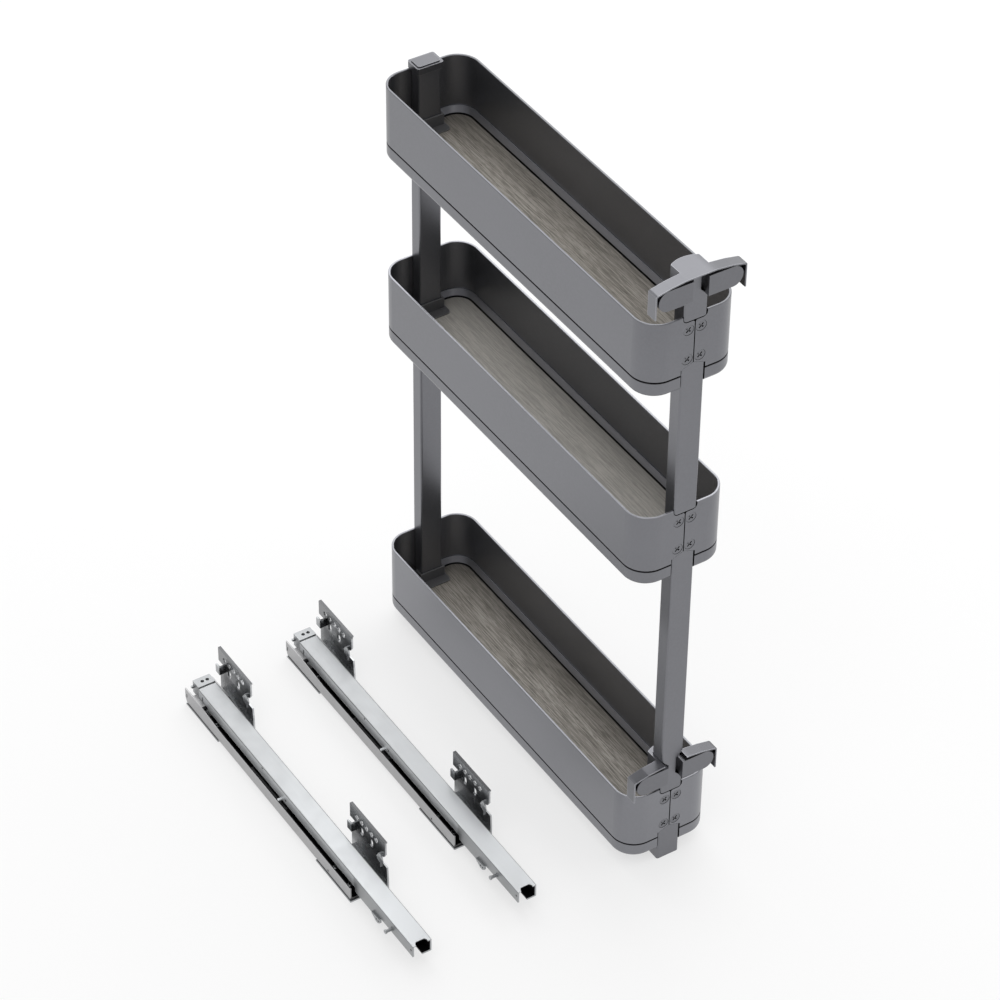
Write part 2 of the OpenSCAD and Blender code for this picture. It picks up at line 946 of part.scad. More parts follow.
module cabinet_rail() {
  t = rail_sheet;
  slot_middle = bracket_sheet + rail_slot_rise + rail_slot_travel * half;
  end = rail_end_inset + rail_length;
  difference() {
    union() {
      side_wall(0, t)
        rail_wall_outline();
      side_wall(rail_width - t, t)
        rail_wall_outline();
      lengthwise(rail_end_inset + rail_cut_run, end)
        translate([0, bracket_sheet])
          square([rail_width, t]);
      lengthwise(rail_web_start, rail_web_start + rail_web_length)
        translate([0, rail_height + rail_step - t])
          square([slide_left - rail_web_gap, t]);
    }
    lengthwise(rail_end_inset - cut, end + cut)
      translate([0, bracket_sheet])
        mirror([0, 1])
          edge_waste(rail_bend);
    lengthwise(rail_end_inset - cut, end + cut)
      translate([rail_width, bracket_sheet])
        mirror([1, 0])
          mirror([0, 1])
            edge_waste(rail_bend);
    translate([0, -rail_end_inset - rail_slot_inset, slot_middle])
      upright_slot(rail_slot_radius, rail_slot_travel);
    translate([-cut, -rail_length * rail_mark_share, bracket_sheet + rail_mark_rise])
      rotate([0, 90, 0])
        cylinder(h = t + 2 * cut, r = rail_mark_radius, $fn = fine);
    rivet_spots()
      translate([0, 0, -cut])
        cylinder(h = rail_floor + 2 * cut, r = rivet_radius + shank_clearance, $fn = fine);
  }
}

module bracket_rivets() {
  rivet_spots() {
    cylinder(h = rail_floor, r = rivet_radius, $fn = fine);
    translate([0, 0, rail_floor])
      cylinder(h = rivet_rise, r1 = rivet_head, r2 = rivet_crown, $fn = fine);
  }
}

// The plate's front notch: x is how far behind the front edge, y is the height.
module front_notch(len) {
  d = front_notch_depth;
  h = front_notch_high - front_notch_low;
  polygon([
    [len + curl_reach + 2 * cut, front_notch_high],
    [len, front_notch_high],
    [len - d * front_notch_depth_shares[0], front_notch_low + h * front_notch_height_shares[2]],
    [len - d * front_notch_depth_shares[1], front_notch_low + h * front_notch_height_shares[1]],
    [len - d, front_notch_low + h * front_notch_height_shares[0]],
    [len - d * front_notch_depth_shares[2], front_notch_low],
    [len + curl_reach + 2 * cut, front_notch_low]
  ]);
}

module bracket_outline(len) {
  difference() {
    polygon([
      [plate_rear_inset, 0],
      [plate_rear_inset, tab_low],
      [0, tab_low],
      [0, bracket_height],
      [len - plate_lip_inset, bracket_height],
      [len, bracket_height - plate_corner],
      [len, front_notch_low],
      [len + curl_reach, front_notch_low],
      [len + curl_reach + bend, front_notch_low * half],
      [len + curl_reach + bend, 0]
    ]);
    front_notch(len);
    translate([-cut, tab_low])
      square([tab_depth + cut, tab_high - tab_low]);
    for (i = [0 : hole_count - 1])
      translate([first_hole_inset + i * hole_pitch, hole_height])
        circle(r = hole_radius, $fn = fine);
    for (i = slot_inset_pitches) {
      translate([first_hole_inset + i * hole_pitch, slot_height - slot_travel * half])
        circle(r = slot_radius, $fn = fine);
      translate([first_hole_inset + i * hole_pitch, slot_height + slot_travel * half])
        circle(r = slot_radius, $fn = fine);
      translate([first_hole_inset + i * hole_pitch - slot_radius, slot_height - slot_travel * half])
        square([2 * slot_radius, slot_travel]);
    }
  }
}

module bevel(r) {
  rotate([0, 90, 0])
    cylinder(h = hole_bevel_depth, r1 = r + hole_bevel, r2 = r, $fn = fine);
}

// Bevelled edges of the screw holes and slots, on the side of the screw heads.
module hole_bevels() {
  for (i = [0 : hole_count - 1])
    translate([plate_offset, -first_hole_inset - i * hole_pitch, hole_height])
      bevel(hole_radius);
  for (i = slot_inset_pitches)
    translate([plate_offset, -first_hole_inset - i * hole_pitch, slot_height - slot_travel * half]) {
      bevel(slot_radius);
      translate([0, 0, slot_travel])
        bevel(slot_radius);
      linear_extrude(slot_travel)
        polygon([
          [0, -slot_radius - hole_bevel],
          [hole_bevel_depth, -slot_radius],
          [hole_bevel_depth, slot_radius],
          [0, slot_radius + hole_bevel]
        ]);
    }
}

// A rounded tongue of the plate bent out beside its front notch.
module front_curl(len) {
  w = curl_width;
  h = curl_high - curl_low;
  translate([plate_offset, -len + front_notch_depth + bracket_sheet, 0])
    rotate([90, 0, 0])
      linear_extrude(bracket_sheet)
        polygon([
          [bend, curl_low],
          [-w * curl_width_shares[0], curl_low],
          [-w * curl_width_shares[0], curl_low + h * curl_height_shares[0]],
          [-w, curl_low + h * curl_height_shares[1]],
          [-w, curl_low + h * curl_height_shares[2]],
          [-w * curl_width_shares[1], curl_high],
          [bend, curl_high]
        ]);
}

// A sheet foot under the rail, an upright plate with a folded top lip, and a hooked tab.
module bracket(start) {
  t = bracket_sheet;
  translate([0, -start, 0]) {
    difference() {
      translate([-foot_stand, -bracket_length, 0])
        cube([foot_stand + plate_offset + t, bracket_length, t]);
      translate([0, start, 0])
        rivet_spots()
          translate([0, 0, -cut])
            cylinder(h = t + 2 * cut, r = rivet_radius + shank_clearance, $fn = fine);
    }
    difference() {
      side_wall(plate_offset, t)
        bracket_outline(bracket_length);
      hole_bevels();
    }
    front_curl(bracket_length);
    translate([plate_offset, -bracket_length + plate_lip_inset, bracket_height - t])
      cube([top_lip, bracket_length - plate_lip_inset, t]);
    translate([plate_offset - tab_out, -tab_depth - t, tab_low])
      cube([tab_out + t, t, tab_top - tab_low]);
    translate([plate_offset - tab_out, -tab_depth - t, tab_low])
      cube([t, tab_run, tab_top - tab_low]);
  }
}

module slide_profile() {
  t = rail_sheet;
  difference() {
    union() {
      translate([slide_left, flange_low])
        square([t, flange_height - bend]);
      translate([slide_left + bend, slide_top - t])
        square([slide_width - 2 * bend, t]);
      translate([slide_right - t, slide_bottom + bend])
        square([t, slide_top - slide_bottom - 2 * bend]);
      translate([slide_right - slide_lip, slide_bottom])
        square([slide_lip - bend, t]);
      for (p = [
        [slide_left + bend, slide_top - bend],
        [slide_right - bend, slide_top - bend],
        [slide_right - bend, slide_bottom + bend]
      ])
        translate(p)
          circle(r = bend, $fn = fine);
    }
  }
}

module drawer_rail() {
  t = rail_sheet;
  front = slide_rear + slide_length;
  stop_start = rail_end_inset + rail_length + stop_gap;
  difference() {
    union() {
      lengthwise(slide_rear, front)
        slide_profile();
      side_wall(slide_left, t)
        polygon([
          [stop_start, flange_low - stop_drop],
          [stop_start, flange_low + bend],
          [stop_start + stop_length + stop_drop, flange_low + bend],
          [stop_start + stop_length, flange_low - stop_drop]
        ]);
      translate([slide_left - wing_stand, -slide_rear - slide_length * wing_share, flange_low + wing_rise])
        cube([wing_stand + bend, wing_length, t]);
    }
    translate([0, 0, slide_top - t - cut])
      linear_extrude(t + 2 * cut)
        polygon([
          [slide_left + slide_width * nose_width_shares[0], -front - cut],
          [slide_left + slide_width * nose_width_shares[0], -front + nose_length * nose_depth_shares[0]],
          [slide_left + slide_width * nose_width_shares[1], -front + nose_length],
          [slide_left + slide_width * nose_width_shares[2], -front + nose_length],
          [slide_left + slide_width * nose_width_shares[3], -front + nose_length * nose_depth_shares[1]],
          [slide_left + slide_width * nose_width_shares[3], -front - cut]
        ]);
    for (h = [
      [slide_length - slide_hole_inset, flange_height * half, slide_hole_radius],
      [slide_length * dimple_share, dimple_drop, slide_hole_radius],
      [slide_length * tab_hole_share, tab_hole_drop, tab_hole_radius]
    ])
      translate([slide_left - cut, -slide_rear - h[0], slide_top - h[1]])
        rotate([0, 90, 0])
          cylinder(h = t + 2 * cut, r = h[2], $fn = fine);
    translate([slide_left, -slide_rear - slide_slot_inset, slide_top - slide_slot_drop])
      upright_slot(slide_slot_radius, slide_slot_travel);
    translate([slide_left - cut, -pin_distance, pin_height])
      rotate([0, 90, 0])
        cylinder(h = t + 2 * cut, r = pin_radius + shank_clearance, $fn = fine);
  }
}

module end_block() {
  rear = slide_rear - block_gap - end_block_length;
  middle = -rear - end_block_length * half;
  difference() {
    union() {
      translate([block_left, -slide_rear + block_gap, block_low])
        cube([block_width, end_block_length, slide_top - block_low]);
      translate([block_left - spur, -rear - spur, slide_top - flange_height * spur_drop_share])
        cube([spur + bend, spur, spur]);
      translate([slide_left + 2 * rail_sheet, -slide_rear - block_nose, slide_bottom + 2 * rail_sheet])
        cube([
          slide_width - 2 * 2 * rail_sheet,
          block_nose + block_gap + bend,
          slide_top - slide_bottom - 3 * rail_sheet
        ]);
    }
    for (k = block_hole_shares)
      translate([block_left + block_width * k, middle, slide_top - block_hole_depth])
        cylinder(h = block_hole_depth + cut, r = block_hole, $fn = fine);
  }
}

module catch_pin() {
  t = rail_sheet;
  translate([slide_left - pin_reach, -pin_distance, pin_height])
    rotate([0, 90, 0]) {
      cylinder(h = pin_reach + t + bend, r = pin_radius, $fn = fine);
      cylinder(h = t, r = pin_head, $fn = fine);
    }
  translate([slide_left - bend, -pin_distance, pin_height])
    rotate([0, 90, 0])
      cylinder(h = bend, r = pin_head, $fn = fine);
}

module stop_latch() {
  start = rail_end_inset + rail_length + stop_gap + stop_length - latch_overlap;
  difference() {
    side_wall(slide_left - latch_thick, latch_thick)
      polygon([
        [start, flange_low],
        [start + latch_length, flange_low + latch_rise],
        [start + latch_length, flange_low - latch_height + latch_tip],
        [start + latch_length * latch_length_shares[1], flange_low - latch_height],
        [start + latch_length * latch_length_shares[0], flange_low - latch_height],
        [start, flange_low - latch_heel]
      ]);
    for (k = latch_eye_shares)
      translate([slide_left - latch_thick - cut, -start - latch_length * k, flange_low - latch_eye_drop])
        rotate([0, 90, 0])
          cylinder(h = latch_eye_depth + cut, r = latch_eye, $fn = fine);
  }
}

// Where the balls run: between the rail's floor and the drawer rail's lower lip.
module ball_spots() {
  first = cage_rear + cage_margin + ball_pitch * half;
  for (i = [0 : ball_count - 1])
    translate([ball_x, -first - ball_pitch * i, rail_floor + ball_clearance + ball_radius])
      children();
}

module ball_cage() {
  side = rail_sheet + cage_side_gap;
  low = rail_floor + cage_top_gap;
  high = slide_bottom - cage_top_gap;
  m = cage_window_margin;
  difference() {
    translate([side, -cage_rear - cage_length, low])
      cube([rail_width - 2 * side, cage_length, high - low]);
    ball_spots()
      translate([0, 0, -ball_radius - cut])
        cylinder(h = 2 * (ball_radius + cut), r = ball_radius + cage_ball_gap, $fn = curve);
    translate([side + m, -cage_rear - cage_length + m, low + m])
      cube([ball_x - ball_radius - cage_window_side - side - m, cage_length - 2 * m, high]);
  }
}

module balls() {
  ball_spots()
    sphere(r = ball_radius, $fn = curve);
}

module left_cabinet_rail() {
  color(zinc) on_left() cabinet_rail();
}

module right_cabinet_rail() {
  color(zinc) on_right() cabinet_rail();
}

module left_rear_bracket() {
  color(zinc) on_left() bracket(bracket_rear_inset);
}

module right_rear_bracket() {
  color(zinc) on_right() bracket(bracket_rear_inset);
}

module left_front_bracket() {
  color(zinc) on_left() bracket(bracket_front);
}

module right_front_bracket() {
  color(zinc) on_right() bracket(bracket_front);
}

module left_bracket_rivets() {
  color(zinc) on_left() bracket_rivets();
}

module right_bracket_rivets() {
  color(zinc) on_right() bracket_rivets();
}

module left_ball_cage() {
  color(dark_plastic) on_left() ball_cage();
}

module right_ball_cage() {
  color(dark_plastic) on_right() ball_cage();
}

module left_balls() {
  color(zinc) on_left() balls();
}

module right_balls() {
  color(zinc) on_right() balls();
}

module left_drawer_rail() {
  color(zinc) on_left() drawer_rail();
}

module right_drawer_rail() {
  color(zinc) on_right() drawer_rail();
}

module left_end_block() {
  color(zinc) on_left() end_block();
}

module right_end_block() {
  color(zinc) on_right() end_block();
}

module left_catch_pin() {
  color(zinc) on_left() catch_pin();
}

module right_catch_pin() {
  color(zinc) on_right() catch_pin();
}

module left_stop_latch() {
  color(zinc) on_left() stop_latch();
}

module right_stop_latch() {
  color(zinc) on_right() stop_latch();
}

front_post();
rear_post();
rear_post_cap();
top_band();
top_tray();
top_floor_panel();
top_post_collar();
top_band_screws();
middle_band();
middle_tray();
middle_floor_panel();
middle_post_collar();
middle_band_screws();
bottom_band();
bottom_tray();
bottom_floor_panel();
bottom_post_collar();
bottom_band_screws();
top_door_bracket();
top_bracket_hood();
bottom_door_bracket();
bottom_bracket_hood();
left_cabinet_rail();
left_rear_bracket();
left_front_bracket();
left_bracket_rivets();
left_ball_cage();
left_balls();
left_drawer_rail();
left_end_block();
left_catch_pin();
left_stop_latch();
right_cabinet_rail();
right_rear_bracket();
right_front_bracket();
right_bracket_rivets();
right_ball_cage();
right_balls();
right_drawer_rail();
right_end_block();
right_catch_pin();
right_stop_latch();
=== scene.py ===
# Looks of the pull-out bottle rack and its two runners. Metres, in the CAD model's frame.
import json
import math

import bpy
from mathutils import Matrix, Vector

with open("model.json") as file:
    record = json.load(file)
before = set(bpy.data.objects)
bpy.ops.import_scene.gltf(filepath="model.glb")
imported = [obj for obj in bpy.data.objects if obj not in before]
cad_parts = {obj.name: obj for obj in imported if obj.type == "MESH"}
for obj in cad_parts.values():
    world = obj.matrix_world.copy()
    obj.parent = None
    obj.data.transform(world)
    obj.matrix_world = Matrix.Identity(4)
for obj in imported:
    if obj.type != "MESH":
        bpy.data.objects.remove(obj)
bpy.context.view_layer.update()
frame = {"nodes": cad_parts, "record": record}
nodes = frame["nodes"]

# Base colours.
GREY = (0.19, 0.192, 0.207)
ZINC = (0.44, 0.452, 0.462)
BLACK = (0.006, 0.006, 0.007)
RAIL_GREY = (0.4, 0.4, 0.405)
COLLAR_GREY = (0.13, 0.13, 0.135)
# The ball cage is black plastic; its black also stands in for the shade inside the runner.
CAGE_BLACK = (0.01, 0.01, 0.011)

# Baskets: the rims' heights, how bright each rim's painted highlight is, the rim's upper edge, and depths
# below a rim.
RIMS = [0.6205, 0.3995, 0.0445]
RIM_HIGHLIGHTS = [1.05, 1.9, 1.5]
RIM_EDGE = 0.0004
LEDGE_HIGH = 0.0567
LEDGE_LOW = 0.0638
GAP_HIGH = 0.0637
GAP_LOW = 0.0657
BOARD_DEPTH = 0.08
# Painted light: the bottom basket turns paler within this height above its rim.
PAINTED_LIGHT_ABOVE = 0.02

# Runners: the right cabinet rail's left face is at x = -RAIL_LEFT, its rear end at y = RAIL_REAR and its
# foot at z = -RAIL_FOOT. The left one lies LEFT_RUNNER_SHIFT to the left and LEFT_RUNNER_STEP forward.
# All below are measured from these: across to the right, along to the front, height upwards.
RAIL_LEFT = 0.0409
RAIL_REAR = 0.0331
RAIL_FOOT = 0.0505
BETWEEN_RUNNERS = -0.1
LEFT_RUNNER_SHIFT = 0.1235
LEFT_RUNNER_STEP = 0.0075
RAIL_INSIDE = (0.0004, 0.0322)
# The span along the cabinet rail whose inside carries painted shade:
RAIL_SHADED = (0.034, 0.331)
RAIL_FLOOR = 0.002
SLIDE_SKIN = 0.0058
SLIDE_INSIDE = 0.026
SLIDE_REAR = 0.0193
SLIDE_FRONT = 0.4394
SLIDE_BEND = 0.0296
SLIDE_TOP = 0.0302
PLATE_FACE = (0.0388, 0.0406)
PLATE_TOP = 0.0593


# Materials are made of nodes in object coordinates, which are the row frame at rest.
class Look:
    def __init__(self, name):
        self.mat = bpy.data.materials.new(name)
        self.mat.use_nodes = True
        self.tree = self.mat.node_tree
        self.bsdf = self.tree.nodes["Principled BSDF"]
        self.coord = self.tree.nodes.new("ShaderNodeTexCoord").outputs["Object"]

    def node(self, kind, **values):
        n = self.tree.nodes.new(kind)
        for k, v in values.items():
            setattr(n, k, v)
        return n

    def link(self, a, b):
        self.tree.links.new(a, b)

    def put(self, socket, value):
        if isinstance(value, bpy.types.NodeSocket):
            self.link(value, socket)
        else:
            socket.default_value = value

    def math(self, op, a, b=0.0, clamp=False):
        n = self.node("ShaderNodeMath", operation=op, use_clamp=clamp)
        self.put(n.inputs[0], a)
        self.put(n.inputs[1], b)
        return n.outputs[0]

    def axis(self, i):
        n = self.node("ShaderNodeSeparateXYZ")
        self.link(self.coord, n.inputs[0])
        return n.outputs[i]

    def between(self, value, low, high, soft):
        # 1 between low and high, 0 outside, with soft edges.
        up = self.ramp_up(value, low - soft, low + soft)
        down = self.ramp_up(value, high - soft, high + soft)
        return self.math("SUBTRACT", up, down, True)

    def ramp_up(self, value, start, end):
        n = self.node("ShaderNodeMapRange", interpolation_type="SMOOTHSTEP")
        self.put(n.inputs[0], value)
        n.inputs[1].default_value = start
        n.inputs[2].default_value = end
        return n.outputs[0]

    def noise(self, scale, detail, rough=0.5, stretch=(1, 1, 1)):
        m = self.node("ShaderNodeMapping")
        self.link(self.coord, m.inputs[0])
        m.inputs["Scale"].default_value = stretch
        n = self.node("ShaderNodeTexNoise")
        self.link(m.outputs[0], n.inputs["Vector"])
        n.inputs["Scale"].default_value = scale
        n.inputs["Detail"].default_value = detail
        n.inputs["Roughness"].default_value = rough
        return n.outputs["Fac"]

    def spread(self, value, low, high, out_low, out_high):
        n = self.node("ShaderNodeMapRange")
        self.put(n.inputs[0], value)
        for i, v in enumerate((low, high, out_low, out_high)):
            n.inputs[1 + i].default_value = v
        return n.outputs[0]

    def mix(self, fac, a, b):
        n = self.node("ShaderNodeMix", data_type="RGBA")
        self.put(n.inputs[0], fac)
        for s, v in ((n.inputs[6], a), (n.inputs[7], b)):
            self.put(s, v if isinstance(v, bpy.types.NodeSocket) else (*v[:3], 1))
        return n.outputs[2]

    def shade(self, reach, inside=False):
        # 1 on an open surface, less where other surfaces stand within reach.
        n = self.node("ShaderNodeAmbientOcclusion", samples=16, inside=inside)
        n.inputs["Distance"].default_value = reach
        return n.outputs["AO"]

    def painted_shade(self, col, dark, reach=0.0024, start=0.2, end=0.62):
        # Painted shade: dark in gaps, holes and recesses, where shade falls.
        return self.mix(self.spread(self.shade(reach), start, end, 1, 0), col, dark)

    def painted_edge_highlight(self, col, light, reach=0.0008, amount=0.7):
        # Painted highlight: lighter along outer edges, where rounded edges catch the light.
        return self.mix(self.spread(self.shade(reach, True), 0.5, 0.9, amount, 0), col, light)

    def bump(self, height, strength, distance):
        n = self.node("ShaderNodeBump")
        n.inputs["Strength"].default_value = strength
        n.inputs["Distance"].default_value = distance
        self.link(height, n.inputs["Height"])
        self.link(n.outputs[0], self.bsdf.inputs["Normal"])


def tint(base, share):
    return tuple(c * share for c in base)


def product(k, *masks):
    # 1 only where every mask is 1.
    out = masks[0]
    for mask in masks[1:]:
        out = k.math("MULTIPLY", out, mask)
    return out


def painted_light_bottom(k, z, col):
    # Painted light: the bottom basket is made a little paler, as if more lit.
    bottom = k.math("MULTIPLY", k.ramp_up(z, RIMS[2] + PAINTED_LIGHT_ABOVE, RIMS[2]), 0.2)
    return k.mix(bottom, col, tint(GREY, 2.0))


def band_highlight_and_shade(k, col):
    # Painted highlight on the rim on top, and painted shade in the gap under the band.
    z = k.axis(2)
    col = painted_light_bottom(k, z, col)
    for rim, edge in zip(RIMS, RIM_HIGHLIGHTS):
        col = k.mix(k.between(z, rim - RIM_EDGE, rim + 0.001, 0.0002), col, tint(GREY, edge))
        gap = k.between(z, rim - GAP_LOW, rim - GAP_HIGH, 0.00012)
        col = k.mix(gap, col, (0.008, 0.008, 0.009))
    return col


def tray_highlight_and_shade(k, col):
    # Painted highlight on the ledge round the floor panel, and painted shade in the step beside it.
    z = k.axis(2)
    col = painted_light_bottom(k, z, col)
    for rim in RIMS:
        slope = k.between(z, rim - LEDGE_LOW, rim - LEDGE_HIGH, 0.0001)
        col = k.mix(slope, col, tint(GREY, 2.1))
        gap = k.between(z, rim - GAP_LOW, rim - GAP_HIGH, 0.00012)
        col = k.mix(gap, col, (0.022, 0.022, 0.024))
    return col


def post_painted_shade(k, col):
    # Painted shade: the front post's left side is darker just under the middle basket, where the basket
    # shades it.
    left = k.ramp_up(k.axis(0), 0.1226, 0.1219)
    front = k.ramp_up(k.axis(1), -0.3, -0.302)
    height = k.between(k.axis(2), 0.255, 0.36, 0.02)
    side = product(k, left, front, height)
    return k.mix(k.math("MULTIPLY", side, 0.45), col, tint(GREY, 0.25))


def paint(name, base, metal=0.88, rough=0.33, mask=None, gaps=(0.3, 0.75)):
    """Satin powder coat: fine orange peel, slight cloudiness, uneven gloss, a painted highlight on its edges
    and painted shade in its gaps.
    """
    k = Look(name)
    cloud = k.noise(9.0, 2.0)
    fine = k.noise(420.0, 2.0)
    col = k.mix(k.spread(cloud, 0.3, 0.7, 0, 1), tint(base, 0.95), tint(base, 1.05))
    col = k.mix(k.spread(fine, 0.35, 0.65, 0, 0.25), col, tint(base, 1.16))
    col = k.painted_edge_highlight(col, tint(base, 1.3))
    col = k.painted_shade(col, tint(base, 0.06), 0.0024, *gaps)
    if mask:
        col = mask(k, col)
    k.put(k.bsdf.inputs["Base Color"], col)
    k.bsdf.inputs["Metallic"].default_value = metal
    k.put(k.bsdf.inputs["Roughness"], k.spread(cloud, 0.3, 0.7, rough - 0.03, rough + 0.04))
    k.bump(k.noise(900.0, 2.0), 0.1, 0.0001)
    return k


def zinc(name, base, rough, grain=(1, 0.02, 1), mask=None, metal=1.0):
    """Zinc-plated sheet: fine rolling lines along the rail, faint spangle, a painted highlight on its edges
    and painted shade in its gaps.
    """
    k = Look(name)
    lines = k.noise(1500.0, 3.0, 0.6, grain)
    spangle = k.noise(70.0, 2.0)
    col = k.mix(k.spread(lines, 0.3, 0.7, 0, 1), tint(base, 0.97), tint(base, 1.03))
    col = k.mix(k.spread(spangle, 0.35, 0.65, 0, 0.3), col, tint(base, 0.95))
    col = k.painted_edge_highlight(col, tint(base, 1.5), 0.0006, 0.6)
    col = k.painted_shade(col, tint(base, 0.06), 0.0016)
    if mask:
        col = mask(k, col)
    k.put(k.bsdf.inputs["Base Color"], col)
    k.bsdf.inputs["Metallic"].default_value = metal
    k.put(k.bsdf.inputs["Roughness"], k.spread(spangle, 0.3, 0.7, rough - 0.04, rough + 0.05))
    k.bump(lines, 0.08, 0.00006)
    return k


def hood_painted_shade(k, col):
    # Painted shade: the hoods' right ends are a little darker, standing in for a darker reflection.
    return k.mix(k.ramp_up(k.axis(0), 0.142, 0.154), col, tint(GREY, 0.68))


def plastic(name, base, rough, metal=0.0, mask=None):
    """Fine-grained moulding with a painted highlight along its edges and painted shade in its gaps."""
    k = Look(name)
    grain = k.noise(1100.0, 2.0)
    cloud = k.noise(14.0, 2.0)
    col = k.mix(k.spread(cloud, 0.3, 0.7, 0, 1), tint(base, 0.95), tint(base, 1.05))
    if mask:
        col = mask(k, col)
    col = k.painted_edge_highlight(col, tint(base, 2.6), 0.0007, 0.7)
    col = k.painted_shade(col, tint(base, 0.08))
    k.put(k.bsdf.inputs["Base Color"], col)
    k.bsdf.inputs["Metallic"].default_value = metal
    k.put(k.bsdf.inputs["Roughness"], k.spread(cloud, 0.3, 0.7, rough - 0.03, rough + 0.04))
    k.bump(grain, 0.04, 0.00005)
    return k


def wood(name):
    """Grey-brown board: broad soft bands, fine fibres and short dark pores along the basket."""
    k = Look(name)
    broad = k.noise(22.0, 3.0, 0.5, (1, 0.05, 1))
    fibre = k.noise(820.0, 3.0, 0.6, (1, 0.03, 1))
    pores = k.noise(1300.0, 2.0, 0.55, (1, 0.05, 1))
    col = k.mix(k.spread(broad, 0.35, 0.65, 0, 1), (0.3, 0.277, 0.243), (0.43, 0.402, 0.36))
    col = k.mix(k.spread(fibre, 0.42, 0.6, 0, 0.72), col, (0.13, 0.117, 0.098))
    col = k.mix(k.spread(pores, 0.52, 0.64, 0, 0.6), col, (0.07, 0.062, 0.05))
    # Painted shade: duller towards the basket's walls, which shade the board.
    col = k.mix(k.spread(k.shade(0.04), 0.5, 0.95, 0.55, 0), col, (0.08, 0.073, 0.062))
    # The middle board's colour is made paler.
    pale = k.between(k.axis(2), RIMS[1] - BOARD_DEPTH, RIMS[1], 0.001)
    col = k.mix(k.math("MULTIPLY", pale, 0.36), col, (0.6, 0.585, 0.55))
    # Painted shade in gaps and recesses.
    col = k.painted_shade(col, (0.03, 0.028, 0.025), 0.0016, 0.2, 0.7)
    k.put(k.bsdf.inputs["Base Color"], col)
    k.put(k.bsdf.inputs["Roughness"], k.spread(fibre, 0.3, 0.7, 0.5, 0.62))
    k.bump(pores, 0.2, 0.00015)
    return k


def runner_place(k):
    # Across from the rail's left face, forward from its rear end and up from its foot, on either runner.
    left = k.math("LESS_THAN", k.axis(0), BETWEEN_RUNNERS)
    across = k.math("ADD", k.math("ADD", k.axis(0), RAIL_LEFT), k.math("MULTIPLY", left, LEFT_RUNNER_SHIFT))
    rear = k.math("SUBTRACT", RAIL_REAR, k.math("MULTIPLY", left, LEFT_RUNNER_STEP))
    return across, k.math("SUBTRACT", rear, k.axis(1)), k.math("ADD", k.axis(2), RAIL_FOOT)


def slide_highlight_and_shade(k, col):
    # Painted highlight on the side wall, more so lower down and less past the cabinet rail's front end, and
    # on the top towards the front; painted shade: black inside the drawer rail and dull dark lines along its
    # two bends.
    across, along, height = runner_place(k)
    side = product(k, k.ramp_up(across, SLIDE_SKIN, 0.0056), k.between(height, 0.0, SLIDE_BEND, 0.0002))
    flange = k.mix(k.ramp_up(height, 0.025, 0.012), tint(ZINC, 1.25), tint(ZINC, 2.1))
    flange = k.mix(k.ramp_up(along, 0.328, 0.332), flange, tint(ZINC, 0.75))
    col = k.mix(side, col, flange)
    front = product(k, k.ramp_up(height, SLIDE_TOP, 0.0304), k.ramp_up(along, 0.1, 0.42))
    col = k.mix(front, col, tint(ZINC, 1.55))
    width = k.between(across, SLIDE_SKIN, SLIDE_INSIDE, 0.0001)
    inner = product(k, width, k.ramp_up(height, 0.0301, 0.0299), k.ramp_up(along, 0.4398, SLIDE_FRONT))
    col = k.mix(inner, col, BLACK)
    line = product(k, k.ramp_up(across, 0.0066, 0.006), k.between(height, SLIDE_BEND, 0.0304, 0.0002))
    col = k.mix(k.math("MULTIPLY", line, 0.75), col, tint(ZINC, 0.15))
    line = product(k, k.ramp_up(across, 0.0252, 0.0257), k.ramp_up(height, SLIDE_BEND, 0.03))
    return k.mix(k.math("MULTIPLY", line, 0.6), col, tint(ZINC, 0.15))


def block_painted_shade(k, col):
    # Painted shade: black on the nose inside the drawer rail.
    along = runner_place(k)[1]
    return k.mix(k.ramp_up(along, SLIDE_REAR, 0.0196), col, BLACK)


def rail_painted_shade(k, col):
    # Painted shade: black inside the cabinet rail, none at its rear end.
    across, along, height = runner_place(k)
    width = k.between(across, *RAIL_INSIDE, 0.0002)
    length = k.between(along, *RAIL_SHADED, 0.0004)
    return k.mix(product(k, width, k.ramp_up(height, RAIL_FLOOR, 0.0022), length), col, BLACK)


def plate_painted_reflection(k, col):
    # Painted reflection on the plates: cloudy light and dark on the rear plates, with painted shade behind a
    # slanting line at their rear ends.
    # The front plates are painted darker, with a painted highlight patch where the cabinet rail ends.
    across, along, height = runner_place(k)
    rise = k.math("MULTIPLY", k.math("SUBTRACT", height, 0.025), 0.35)
    slant = k.math("SUBTRACT", along, rise)
    corner = k.ramp_up(slant, 0.032, 0.013)
    start = k.ramp_up(along, 0.26, 0.262)
    end = k.ramp_up(along, 0.285, 0.276)
    patch = product(k, k.between(height, 0.016, 0.035, 0.003), end, start)
    cloud = k.spread(k.noise(90.0, 3.0, 0.6, (1, 1, 1.6)), 0.4, 0.62, 0, 1)
    face = k.mix(cloud, (0.43, 0.438, 0.45), (0.6, 0.61, 0.625))
    face = k.mix(k.ramp_up(along, 0.1, 0.2), face, (0.39, 0.396, 0.406))
    face = k.mix(corner, face, (0.21, 0.214, 0.22))
    face = k.mix(patch, face, (0.4, 0.405, 0.41))
    col = k.mix(k.between(across, *PLATE_FACE, 0.0002), col, face)
    # The sheet's cut edge on top is dull.
    return k.mix(k.ramp_up(height, PLATE_TOP, 0.0597), col, (0.12, 0.122, 0.126))


